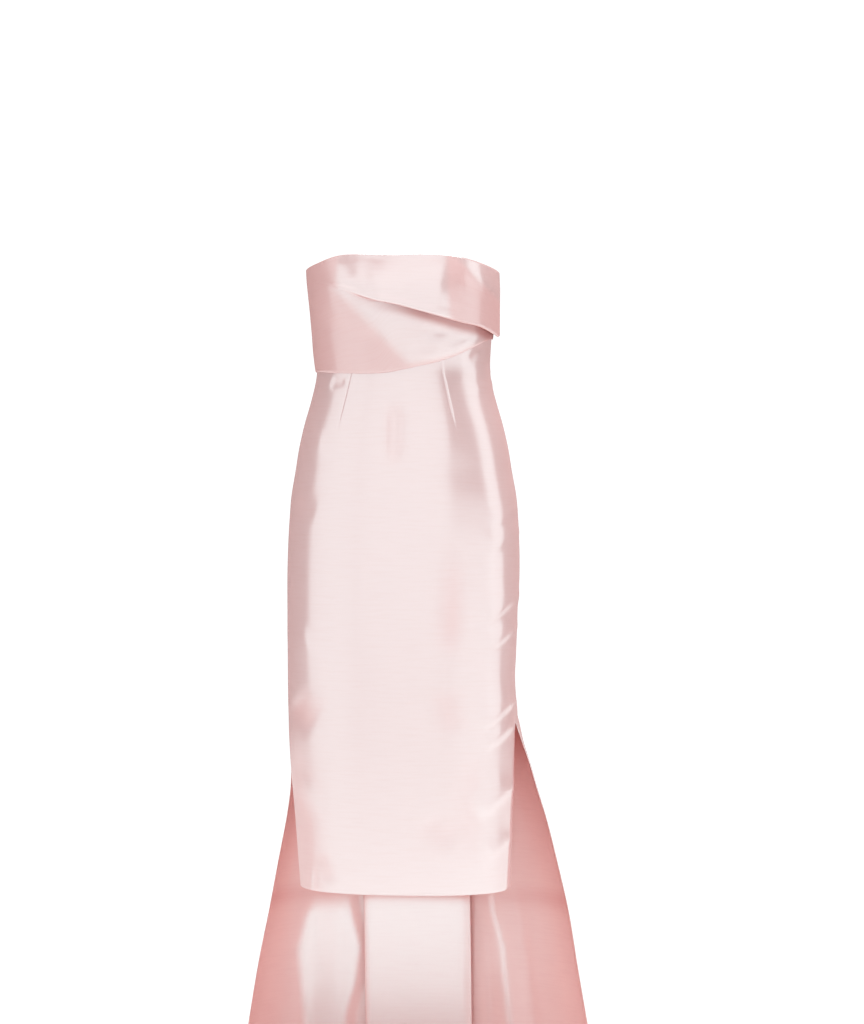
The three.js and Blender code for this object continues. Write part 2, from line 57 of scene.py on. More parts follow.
studio = {
    "worldLights": 0.32, "worldSeen": 1.3,
    "floorReach": 3.8, "floorCorners": 64, "floorColour": "#FAF8F7", "floorRoughness": 0.9,
    "panels": [  # soft boxes round the camera: bearing, distance, breadth, lowest and highest edge, brightness
        {"name": "left", "turn": -48, "away": 3.4, "width": 3.0, "low": -1.1, "high": 1.9, "brightness": 0.94},
        {"name": "middle", "turn": 0, "away": 3.8, "width": 3.3, "low": -1.1, "high": 3.2, "brightness": 0.94},
        {"name": "right", "turn": 46, "away": 3.4, "width": 2.75, "low": -1.1, "high": -0.06, "brightness": 0.94},
        {"name": "right_fade", "turn": 46, "away": 3.4, "width": 2.75, "low": -0.06, "high": 0.3, "brightness": 0.5},
        {"name": "strip", "turn": 80, "away": 3.2, "width": 1.5, "low": -1.0, "high": 2.4, "brightness": 1.1},
    ],
    "ceiling": [  # soft boxes overhead: one over the dress and one over the floor behind it
        {"name": "overhead", "at": (0.4, -0.4, 2.2), "aim": (0.4, -0.35, -1.14), "width": 1.6, "depth": 1.4,
         "brightness": 11.0},
        {"name": "backdrop", "at": (0.3, 4.6, 4.2), "aim": (0.3, 4.2, -1.14), "width": 9.0, "depth": 6.5,
         "brightness": 3.5},
    ],
    # the film-like shoulder: the value that is white, and points that a value goes in and comes out by
    "whiteLevel": 1.12, "shoulder": [(0.223, 0.30), (0.446, 0.565), (0.67, 0.78), (0.848, 0.91)],
}

bodySections = {
    "z": [-790, -740, -671, -600, -530, -450, -374, -299, -225, -188, -150, -113, -76, -39, 0, 45, 90, 130, 180],
    "halfWidth": [164, 166.5, 170, 173.5, 175.5, 176.7, 178.5, 180, 177.5, 174.5, 168, 162, 153.5, 143, 134.8,
                  135.5, 140, 144.5, 149],
    "front": [98, 100, 102, 104, 106, 109, 111.5, 113, 113, 112, 110, 108, 105, 101, 98, 103, 113, 118, 115],
    "back": [196, 189, 179, 169, 160, 150, 141, 134, 127, 123, 117, 109, 101, 93, 87, 87, 90, 92, 93],
    "square": [2.4] * 13 + [2.35, 2.3, 2.4, 2.6, 2.8, 2.8],
    "sway": [1.8, 0.8, -1.2, -2.5, -3.1, -2.9, -1.6, 0, 0.6, 0.6] + [0.4] * 8 + [0.2],
}

trainSections = {
    "z": [-1140, -1043, -927, -848, -769, -689, -647, -604, -571, -530],
    "leftOut": [297.6, 283.9, 264.8, 252.3, 235.1, 216.1, 204.3, 193.7, 184.2, 172.4],
    "rightOut": [281.8, 267.7, 247.3, 230.2, 214.1, 196.4, 188.5, 183.9, 181.7, 178.6],
    "edgeBack": [122, 119, 113, 107, 98, 81, 65, 42, 22, 0],
    "back": [238, 228, 214, 204, 193, 182, 176, 170, 165, 160],
}

# the bust stands out at one reach on each side, the back swells at the slits' tops, and the train grows rounder
bust = {"rise": 4, "level": 128, "heightWidth": 40, "reach": 0.58, "reachWidth": 0.2}
backShape = {
    "square": 2.3, "squareAtFloor": 2.0, "roundBelow": -850,
    "swell": 7, "swellWidth": 28, "swellTurn": 0.4, "fluteFalls": 80, "fluteTurn": 0.2,
}
# the rolled edge at centre back, and the cloth turned in behind it: a plain turning, and the pleat's return below
fold = {
    "radius": 1.1, "radiusAtFloor": 2.2, "opensAtFloor": 12, "opensAtTop": 1.5, "topOpening": (134, 139),
    "turning": 12, "pleatReturn": 89, "returnStandsIn": 6, "standsInFrom": -800,
}

flutes = [
    {"side": 1, "outAtFrontHem": 118, "outAtFloor": 165, "width": 20, "height": 7},
    {"side": -1, "outAtFrontHem": 205, "outAtFloor": 235, "width": 26, "height": -5},
]

topEdge = {
    "level": 170,
    "reach": [-1, -0.8, -0.6, -0.3, 0, 0.3, 0.55, 0.76, 0.88, 1],
    "z": [158.5, 165.5, 173.5, 175.2, 174.5, 175.2, 173.2, 167, 162, 156.5],
}

bandLines = {
    "reach": [-1, -0.8, -0.58, -0.39, -0.2, 0.02, 0.31, 0.5, 0.68, 0.87, 1],
    "tuck": [139, 134, 126, 114.6, 105, 98.2, 87, 79.5, 72.5, 67, 58],
    "lower": [5, 0.5, -1.6, -2.4, -2, 1.5, 8.6, 14.7, 24, 40, 54],
    "drape": [3.2, 3.4, 3.4, 3.2, 3, 2.8, 2.6, 2.4, 2, 1.4, 0.6],
}


def smoothStep(low, high, value):
    share = np.clip((np.asarray(value, float) - low) / (high - low), 0, 1)
    return share * share * (3 - 2 * share)


def bell(distance, width):
    return np.exp(-0.5 * (np.asarray(distance, float) / width) ** 2)


def mix(start, end, share):
    return start + (end - start) * share


# smooth curve through one column of a table that rises in its key
def curveAt(table, key, column, position):
    keys = np.array(table[key], float)
    values = np.array(table[column], float)
    steps = np.diff(keys)
    rises = np.diff(values) / steps
    slopes = np.empty_like(values)
    slopes[0], slopes[-1] = rises[0], rises[-1]
    slopes[1:-1] = (rises[:-1] * steps[1:] + rises[1:] * steps[:-1]) / (steps[:-1] + steps[1:])
    place = np.clip(np.asarray(position, float), keys[0], keys[-1])
    row = np.clip(np.searchsorted(keys, place, side="right") - 1, 0, len(keys) - 2)
    step = steps[row]
    t = (place - keys[row]) / step
    return (values[row] * (2 * t ** 3 - 3 * t ** 2 + 1) + values[row + 1] * (3 * t ** 2 - 2 * t ** 3)
            + slopes[row] * step * (t ** 3 - 2 * t ** 2 + t) + slopes[row + 1] * step * (t ** 3 - t ** 2))


# how far a place lies to one side of a line from x, z to x, z
def sideOf(line, x, z):
    fromX, fromZ, toX, toZ = line
    return ((x - fromX) * (toZ - fromZ) - (z - fromZ) * (toX - fromX)) / math.hypot(toX - fromX, toZ - fromZ)


def body(column, z):
    return curveAt(bodySections, "z", column, z)


def signedPower(value, power):
    return np.sign(value) * np.abs(value) ** power


normalStep = 0.004  # how far to each side of a place its normal is measured


# unit normal in plan of a curve that runs from before to after
def planNormal(before, after):
    dx, dy = after[0] - before[0], after[1] - before[1]
    length = np.hypot(dx, dy)
    return dy / length, -dx / length


# across runs from -1 at the wearer's right seam to 1 at the left seam
def frontOutline(across, z):
    angle = across * math.pi / 2
    power = 2 / body("square", z)
    x = body("sway", z) + body("halfWidth", z) * signedPower(np.sin(angle), power)
    y = -seamGap / 2 - (body("front", z) - seamGap / 2) * np.abs(np.cos(angle)) ** power
    return x, y


def reachOf(across, z):
    return signedPower(np.sin(across * math.pi / 2), 2 / body("square", z))


def acrossOf(x, z):
    reach = np.minimum(np.abs(x) / body("halfWidth", z), 1)
    return np.arcsin(reach ** (body("square", z) / 2)) * 2 / math.pi


def frontPoint(across, z, outset):
    across, z = np.broadcast_arrays(np.asarray(across, float), np.asarray(z, float))
    reach = reachOf(across, z)
    onBust = bell(reach - bust["reach"], bust["reachWidth"]) + bell(reach + bust["reach"], bust["reachWidth"])
    rise = bust["rise"] * bell(z - bust["level"], bust["heightWidth"]) * onBust
    nx, ny = planNormal(frontOutline(np.maximum(across - normalStep, -1), z),
                        frontOutline(np.minimum(across + normalStep, 1), z))
    atSeam = 1 - np.abs(across) < 1e-6
    nx, ny = np.where(atSeam, np.sign(across), nx), np.where(atSeam, 0, ny)
    x, y = frontOutline(across, z)
    return np.stack([x + nx * (outset + rise), y + ny * (outset + rise), z], -1)


def frontTop(across):
    return curveAt(topEdge, "reach", "z", reachOf(across, topEdge["level"]))


def backEdge(side, z):
    above = z >= slitTop
    out = np.where(above, body("halfWidth", z) + side * body("sway", z),
                   curveAt(trainSections, "z", "leftOut" if side > 0 else "rightOut", z))
    behind = seamGap / 2 + np.where(above, 0, curveAt(trainSections, "z", "edgeBack", z))
    depth = np.where(above, body("back", z), curveAt(trainSections, "z", "back", z))
    return out, behind, depth


def backSquareAt(z):
    return mix(backShape["square"], backShape["squareAtFloor"], smoothStep(slitTop, backShape["roundBelow"], z))


# turn runs from 0 at the side edge to 1 at centre back
def backOutline(side, turn, z):
    edgeOut, behind, depth = backEdge(side, z)
    power = 2 / backSquareAt(z)
    angle = turn * math.pi / 2
    swell = (backShape["swell"] * bell(z - slitTop, backShape["swellWidth"])
             * np.sin(math.pi * np.minimum(turn / backShape["swellTurn"], 1)) ** 2)
    out = edgeOut * np.abs(np.cos(angle)) ** power + swell
    y = behind + (depth - behind) * np.abs(np.sin(angle)) ** power
    fall = smoothStep(slitTop - backShape["fluteFalls"], floorHem, z)
    for flute in flutes:
        if flute["side"] == side:
            centre = mix(flute["outAtFrontHem"], flute["outAtFloor"], (z - frontHem) / (floorHem - frontHem))
            y = y - (flute["height"] * fall * bell(out - centre, flute["width"])
                     * smoothStep(0, backShape["fluteTurn"], turn))
    return side * out, y


def backPoint(side, turn, z, inset):
    turn, z = np.broadcast_arrays(np.asarray(turn, float), np.asarray(z, float))
    nx, ny = planNormal(backOutline(side, np.maximum(turn - normalStep, 0), z),
                        backOutline(side, np.minimum(turn + normalStep, 1), z))
    atEdge = turn < 1e-6
    nx, ny = np.where(atEdge, side, nx * side), np.where(atEdge, 0, ny * side)
    x, y = backOutline(side, turn, z)
    return np.stack([x - nx * inset, y - ny * inset, z], -1)


def turnAt(side, x, z):
    share = np.minimum(x / backEdge(side, z)[0], 1)
    return np.arccos(share ** (backSquareAt(z) / 2)) * 2 / math.pi


def foldRadius(z):
    return mix(fold["radius"], fold["radiusAtFloor"], smoothStep(pleatTop, floorHem, z))


def foldGap(z):
    return (seamGap / 2 + fold["opensAtFloor"] * smoothStep(pleatTop, floorHem, z)
            + fold["opensAtTop"] * smoothStep(*fold["topOpening"], z))


def returnWidth(z):
    return mix(fold["turning"], fold["pleatReturn"], 1 - smoothStep(pleatTop, zipBottom, z))


def returnInset(z):
    return (wallHalf + 2 * foldRadius(z)
            + fold["returnStandsIn"] * smoothStep(pleatTop, fold["standsInFrom"], z))


def returnTurn(side, z, share):
    return turnAt(side, mix(foldGap(z) + foldRadius(z) + wallHalf, returnWidth(z), share), z)


def backTop(side, turn):
    return mix(backTopAtSeam[side], backTopAtCentre, smoothStep(0, 1, turn))


creaseFade = 0.35  # the share of a crease's length over which each of its ends fades


# soft troughs (negative depth) and ridges along short lines, with a width of their own on each side
def creaseField(creases, x, z):
    field = np.zeros_like(x)
    for fromX, fromZ, toX, toZ, depth, widthLeft, widthRight in creases:
        dx, dz = toX - fromX, toZ - fromZ
        length = math.hypot(dx, dz)
        along = ((x - fromX) * dx + (z - fromZ) * dz) / length ** 2
        off = -sideOf((fromX, fromZ, toX, toZ), x, z)
        width = np.where(off > 0, widthLeft, widthRight)
        field += depth * bell(off, width) * smoothStep(0, creaseFade, along) * smoothStep(1, 1 - creaseFade, along)
    return field


def linearColour(code):
    channels = [int(code[at:at + 2], 16) / 255 for at in (1, 3, 5)]
    return [c / 12.92 if c <= 0.04045 else ((c + 0.055) / 1.055) ** 2.4 for c in channels] + [1.0]


# an input goes by its name, or by its number where two inputs of the node share a name
def addNode(tree, kind, inputs=None, **settings):
    node = tree.nodes.new(kind)
    for name, value in settings.items():
        setattr(node, name, value)
    for name, value in (inputs or {}).items():
        if isinstance(value, bpy.types.NodeSocket):
            tree.links.new(value, node.inputs[name])
        else:
            node.inputs[name].default_value = value
    return node


def newMaterial(name):
    material = bpy.data.materials.new(name)
    material.use_nodes = True
    material.node_tree.nodes.clear()
    return material, material.node_tree


# duchesse satin: a cool blush with a broad pale sheen where it faces a light and a deeper pink elsewhere
satin = {
    "floats": "#ECEEEE", "weft": "#D9A9A7", "weftTurned": "#D39C99", "slub": "#CE918F",
    "reverseWeft": "#D9A5A2", "reverseTurned": "#DFA4A0",
    # the two deeper roses here are painted shade, mixed in where shade falls
    "paintedShadeColour": "#A0625E", "reversePaintedShadeColour": "#B25850",
    "floatShare": 0.45, "faceTurns": (0.1, 0.8), "faceTurnedShare": 0.3,
    "reverseTurns": (0.07, 0.28), "reverseTurnedShare": 0.1,
    "floatRoughness": 0.22, "roughnessSpread": (-0.04, 0.05), "weftRoughness": 0.6, "ior": 1.54,
    # real slubs are a millimetre apart and real ribs 0.2 mm: both are drawn coarser here so that they show
    "slubLength": 0.045, "slubPitch": 0.0035, "slubDetail": 3.0, "slubFrom": 0.45, "slubTo": 0.8, "slubShare": 0.3,
    "ribPitch": 0.0016, "ribWobble": 0.6,
    "ribRelief": {"Strength": 0.04, "Distance": 0.00004}, "slubRelief": {"Strength": 0.06, "Distance": 0.00012},
}


# the scale at which a wave texture draws one line in each pitch, in metres
def waveScale(pitch):
    return math.pi / 20 / pitch


def makeSatin(name, weft, weftTurned, paintedShadeColour, turns, turnedShare):
    material, tree = newMaterial(name)
    uv = addNode(tree, "ShaderNodeUVMap", uv_map="cloth")
    slubPlace = addNode(tree, "ShaderNodeMapping", {
        "Vector": uv.outputs["UV"], "Scale": (1 / satin["slubLength"], 1 / satin["slubPitch"], 1),
    })
    slubs = addNode(tree, "ShaderNodeTexNoise", {
        "Vector": slubPlace.outputs["Vector"], "Scale": 1.0, "Detail": satin["slubDetail"], "Roughness": 0.6,
    })
    ribs = addNode(tree, "ShaderNodeTexWave", {
        "Vector": uv.outputs["UV"], "Scale": waveScale(satin["ribPitch"]), "Distortion": satin["ribWobble"],
        "Detail": 1.0,
    }, bands_direction="Y")
    turning = addNode(tree, "ShaderNodeLayerWeight", {"Blend": 0.5})
    turned = addNode(tree, "ShaderNodeMapRange", {
        "Value": turning.outputs["Facing"], "From Min": turns[0], "From Max": turns[1],
    })
    weave = addNode(tree, "ShaderNodeMix", {
        "Factor": turned.outputs["Result"], 6: linearColour(weft), 7: linearColour(weftTurned),
    }, data_type="RGBA")
    few = addNode(tree, "ShaderNodeMapRange", {
        "Value": slubs.outputs["Fac"], "From Min": satin["slubFrom"], "From Max": satin["slubTo"],
        "To Max": satin["slubShare"],
    })
    colour = addNode(tree, "ShaderNodeMix", {
        "Factor": few.outputs["Result"], 6: weave.outputs[2], 7: linearColour(satin["slub"]),
    }, data_type="RGBA")
    # painted shade: a darker rose is mixed into the colour by a per-point attribute, where shade falls in folds and
    # hollows
    paintedShade = addNode(tree, "ShaderNodeAttribute", attribute_name="paintedShade")
    deepened = addNode(tree, "ShaderNodeMix", {
        "Factor": paintedShade.outputs["Fac"], 6: colour.outputs[2], 7: linearColour(paintedShadeColour),
    }, data_type="RGBA")
    ribBump = addNode(tree, "ShaderNodeBump", {"Height": ribs.outputs["Fac"], **satin["ribRelief"]})
    slubBump = addNode(tree, "ShaderNodeBump", {
        "Height": slubs.outputs["Fac"], "Normal": ribBump.outputs["Normal"], **satin["slubRelief"],
    })
    smoother, rougher = satin["roughnessSpread"]
    rough = addNode(tree, "ShaderNodeMapRange", {
        "Value": slubs.outputs["Fac"], "To Min": satin["floatRoughness"] + smoother,
        "To Max": satin["floatRoughness"] + rougher,
    })
    floats = addNode(tree, "ShaderNodeBsdfPrincipled", {
        "Base Color": linearColour(satin["floats"]), "Metallic": 1.0, "Roughness": rough.outputs["Result"],
        "Normal": slubBump.outputs["Normal"],
    })
    under = addNode(tree, "ShaderNodeBsdfPrincipled", {
        "Base Color": deepened.outputs[2], "Roughness": satin["weftRoughness"], "IOR": satin["ior"],
        "Normal": slubBump.outputs["Normal"],
    })
    share = addNode(tree, "ShaderNodeMapRange", {
        "Value": turned.outputs["Result"], "To Min": satin["floatShare"], "To Max": turnedShare,
    })
    # painted sheen: a per-point attribute scales the share of the glossy floats, raised for painted highlights and
    # lowered for painted shade
    pulled = addNode(tree, "ShaderNodeAttribute", attribute_name="paintedSheen")
    kept = addNode(tree, "ShaderNodeMath", {
        0: share.outputs["Result"], 1: pulled.outputs["Fac"],
    }, operation="MULTIPLY")
    both = addNode(tree, "ShaderNodeMixShader", {
        0: kept.outputs[0], 1: under.outputs["BSDF"], 2: floats.outputs["BSDF"],
    })
    addNode(tree, "ShaderNodeOutputMaterial", {"Surface": both.outputs["Shader"]})
    return material


satinFace = makeSatin("duchesse_satin_face", satin["weft"], satin["weftTurned"], satin["paintedShadeColour"],
                      satin["faceTurns"], satin["faceTurnedShare"])
satinReverse = makeSatin("duchesse_satin_reverse", satin["reverseWeft"], satin["reverseTurned"],
                         satin["reversePaintedShadeColour"], satin["reverseTurns"], satin["reverseTurnedShare"])


rimStandsOut = 0.25  # how far the middle of a cloth's edge stands out past its two faces


# A closed wall from two grids of points, with a rounded rim, and a UV map in metres along the cloth. Face and
# reverse each give how much painted sheen shows there and how much painted shade deepens its pink.
def clothWall(name, outer, inner, down, face=(1.0, 0.0), reverse=(1.0, 0.0)):
    rows, columns = outer.shape[:2]
    at = np.arange(rows * columns).reshape(rows, columns)
    quads = np.stack([at[:-1, :-1], at[:-1, 1:], at[1:, 1:], at[1:, :-1]], -1).reshape(-1, 4)
    behind = rows * columns
    # the rim is closed over a ring of points midway between the two faces, moved out a little
    rim = np.concatenate([at[0, :-1], at[:-1, -1], at[-1, :0:-1], at[:0:-1, 0]])
    towards = np.concatenate([at[1, :-1], at[:-1, -2], at[-2, :0:-1], at[:0:-1, 1]])
    flatOuter, flatInner = outer.reshape(-1, 3), inner.reshape(-1, 3)
    away = flatOuter[rim] - flatOuter[towards]
    away /= np.linalg.norm(away, axis=1)[:, None]
    middle = (flatOuter[rim] + flatInner[rim]) / 2 + away * rimStandsOut
    points = np.concatenate([flatOuter, flatInner, middle]) / 1000
    ring = np.arange(len(rim)) + 2 * behind
    following = np.roll(np.arange(len(rim)), -1)
    faces = np.concatenate([
        quads,
        quads[:, ::-1] + behind,
        np.stack([rim[following], rim, ring, ring[following]], -1),
        np.stack([ring[following], ring, rim + behind, rim[following] + behind], -1),
    ])
    a, b, c, d = (points[faces[:, i]] for i in range(4))
    volume = np.einsum("ij,ij->", a, np.cross(b, c)) + np.einsum("ij,ij->", a, np.cross(c, d))
    if volume < 0:  # the faces pointed inwards
        faces = faces[:, ::-1]
    mesh = bpy.data.meshes.new(name)
    mesh.from_pydata(points.tolist(), [], faces.tolist())
    steps = np.linalg.norm(np.diff(outer, axis=1), axis=2)
    along = np.concatenate([np.zeros((rows, 1)), np.cumsum(steps, axis=1)], axis=1)
    along -= along[:, columns // 2][:, None]
    flatU, flatV = along.reshape(-1) / 1000, down.reshape(-1) / 1000
    u = np.concatenate([flatU, flatU, flatU[rim]])
    v = np.concatenate([flatV, flatV, flatV[rim]])
    layer = mesh.uv_layers.new(name="cloth")
    corner = faces.reshape(-1)
    layer.data.foreach_set("uv", np.stack([u[corner], v[corner]], -1).reshape(-1).astype(np.float32))
    for index, attribute in enumerate(("paintedSheen", "paintedShade")):
        onFace, onReverse = (np.broadcast_to(side[index], (rows, columns)).reshape(-1) for side in (face, reverse))
        mesh.attributes.new(attribute, "FLOAT", "POINT").data.foreach_set(
            "value", np.concatenate([onFace, onReverse, onFace[rim]]).astype(np.float32))
    mesh.materials.append(satinFace)
    mesh.materials.append(satinReverse)
    isInner = np.zeros(len(faces), np.int32)
    isInner[len(quads):2 * len(quads)] = 1
    mesh.polygons.foreach_set("material_index", isInner)
    mesh.shade_smooth()
    mesh.validate()
    piece = bpy.data.objects.new(name, mesh)
    scene.collection.objects.link(piece)
    print(f"{name}: {len(faces) * 2} triangles")
    return piece


# each row's share of the height, and the number of each column
def gridOf(rows, columns):
    return np.meshgrid(np.linspace(0, 1, rows + 1), np.arange(columns + 1.0), indexing="ij")


front = {
    "rows": 240, "counts": [44, 6, 6, 48, 6, 6, 44],  # columns from seam to seam, closer at the two darts
    "belowBandTop": 2,
    "dartAtWaist": 70, "dartAtPoint": 92, "dartPoint": -96, "dartTop": 60, "dartDepth": 0.8, "dartHalfWidth": 2.0,
    "dartFadesUp": 30, "dartFadesDown": 45, "dartSharpness": 1.6,
    # painted shade in crease troughs: the sheen is lowered where a crease dips, weaker higher up
    "troughPaintedShade": 0.6, "troughFull": 2, "paintedShadeAbove": 0.3, "paintedShadeFrom": (-250, -420),
    # each crease: from x, z to x, z, depth, and its width on the left and right of that direction
    "creases": [
        (-104, -12, -76, -15, -1.6, 5, 6), (-118, -22, -100, -16, 1.0, 6, 6),
        (-150, -118, -104, -106, 1.2, 14, 10), (-172, -190, -118, -214, -1.3, 18, 14),
        (-176, -420, -128, -398, 1.3, 16, 22), (-172, -500, -116, -538, -1.7, 20, 16),
        (-166, -655, -120, -628, 1.1, 18, 22),
        (-1, -36, -2, -150, -4.2, 9, 8), (69, 54, 96, -170, 1.1, 14, 15), (92, -240, 83, -445, -1.6, 10, 14),
        (142, 12, 108, -14, 1.0, 3, 7), (146, -6, 114, -34, 1.0, 3, 8), (134, 50, 106, 14, -1.7, 5, 4),
        (184, -200, 142, -236, 1.2, 4, 12), (188, -232, 138, -276, 1.7, 4, 15),
        (192, -326, 128, -386, 2.0, 5, 18), (188, -376, 134, -424, 1.5, 4, 14),
        (194, -480, 120, -546, 2.1, 5, 19), (186, -524, 130, -574, 1.5, 4, 14),
        (186, -620, 118, -676, 1.8, 5, 17), (178, -704, 132, -740, 1.1, 4, 12),
        (-133, -742, -134, -830, 1.2, 2.4, 2.4), (-120, -722, -98, -780, -1.1, 8, 9),
        (68, -470, 88, -556, -0.8, 17, 12), (40, -668, 92, -716, -0.6, 15, 18),
        (-158, -540, -148, -960, -3.0, 20, 24), (118, -560, 110, -760, -0.6, 12, 18),
        (178.5, -430, 155.5, -895, 0.7, 1.5, 1.5), (-178.5, -430, -155.5, -895, 0.6, 1.5, 1.5),
    ],
}


def dartAcross(z):
    share = np.clip(z / front["dartPoint"], 0, 1)
    return acrossOf(mix(front["dartAtWaist"], front["dartAtPoint"], share), np.clip(z, front["dartPoint"], 0))


def makeFront():
    share, column = gridOf(front["rows"], sum(front["counts"]))
    middle = mix(frontHem, frontTop(np.zeros_like(share)), share)
    dart = dartAcross(middle)
    margin = front["dartHalfWidth"] / body("halfWidth", middle)
    one = np.ones_like(share)
    stops = [-one, -dart - margin, -dart, -dart + margin, dart - margin, dart, dart + margin, one]
    across = np.zeros_like(share)
    start = 0
    for index, count in enumerate(front["counts"]):
        inside = (column >= start) & (column <= start + count)
        part = np.clip((column - start) / count, 0, 1)
        across = np.where(inside, mix(stops[index], stops[index + 1], part), across)
        start += count
    z = mix(frontHem, frontTop(across) - front["belowBandTop"], share)
    off = np.abs(np.abs(across) - dart) / margin
    fades = (smoothStep(front["dartPoint"], front["dartPoint"] + front["dartFadesDown"], middle)
             * (1 - smoothStep(front["dartTop"] - front["dartFadesUp"], front["dartTop"], middle)))
    press = front["dartDepth"] * fades * np.clip(1 - off, 0, 1) ** front["dartSharpness"]
    relief = creaseField(front["creases"], frontOutline(across, z)[0], z)
    out = relief - press
    # painted shade: less sheen along the crease troughs
    paintedShadeInTroughs = front["troughPaintedShade"] * mix(front["paintedShadeAbove"], 1, smoothStep(*front["paintedShadeFrom"], z))
    paintedSheen = 1 - paintedShadeInTroughs * np.clip(-relief / front["troughFull"], 0, 1)
    piece = clothWall("front_panel_cloth", frontPoint(across, z, out), frontPoint(across, z, out - thickness), z,
                      (paintedSheen, 0.0))
    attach(piece, "dress")
    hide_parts("front_panel")


band = {
    "columns": 150, "upper": 34, "bend": 8, "under": 6, "lower": 36, "level": 90,
    # the tuck: its strength grows with the reach from nearly flat to a full fold, deepest in the left seam
    "clear": 1.7, "topClear": 1.3, "grows": (-0.66, 0.1), "leastStrength": 0.025,
    "tuckRadius": 2.6, "softRadius": 3.4, "shallow": 1, "tuckDepth": 10, "drapeLow": 2.2, "drapeFull": 0.8,
    # painted shade, with less sheen and a deeper pink: past a line across the lower drape, beside the upper band's
    # ends and in the rolled lower edge
    "lowerShadeLine": (-66, 104, 26, 8), "lowerShadeEdge": (-8, 12), "lowerPaintedShade": 0.6,
    "leftShadeEdge": (-92, -78), "rightShadeEdge": (72, 84), "rightCrease": (92, 169, 150, 104), "rightEdge": (-4, 5),
    "sidePaintedShade": 0.62, "paintedShadeDeepens": 0.2, "roll": (0.86, 0.96), "rollPaintedShade": 0.6,
    # the painted shade under the tuck
    "shadeGrows": (-0.5, 0.3), "shadeFall": (1, 17), "shadeDulls": 0.8, "bendShades": 0.55,
    "upperCreases": [
        (-79, 184, -76, 112, 2.8, 24, 12), (-84, 136, -52, 104, 1.2, 16, 9),
        (99, 156, 128, 108, -1.7, 5, 7), (86, 173, 81, 84, -1.3, 6, 8), (120, 166, 140, 116, 1.4, 8, 8),
        (-67, 174, -58, 163, -0.6, 3, 2.5), (-44, 174, -17, 162, -0.6, 4, 3),
        (-62, 127, 62, 92, -0.9, 6, 9), (6, 114, 112, 82, -0.7, 6, 9), (60, 150, 118, 92, -0.9, 8, 9),
    ],
    "lowerCreases": [
        (-58, 96, 14, 26, 2.6, 22, 12), (46, 76, 80, 56, -1.0, 10, 9), (132, 63, 66, 36, -1.2, 5, 7),
        (130, 60, 34, 60, -1.3, 6, 8), (-118, 96, -70, 44, -1.0, 9, 12),
    ],
}


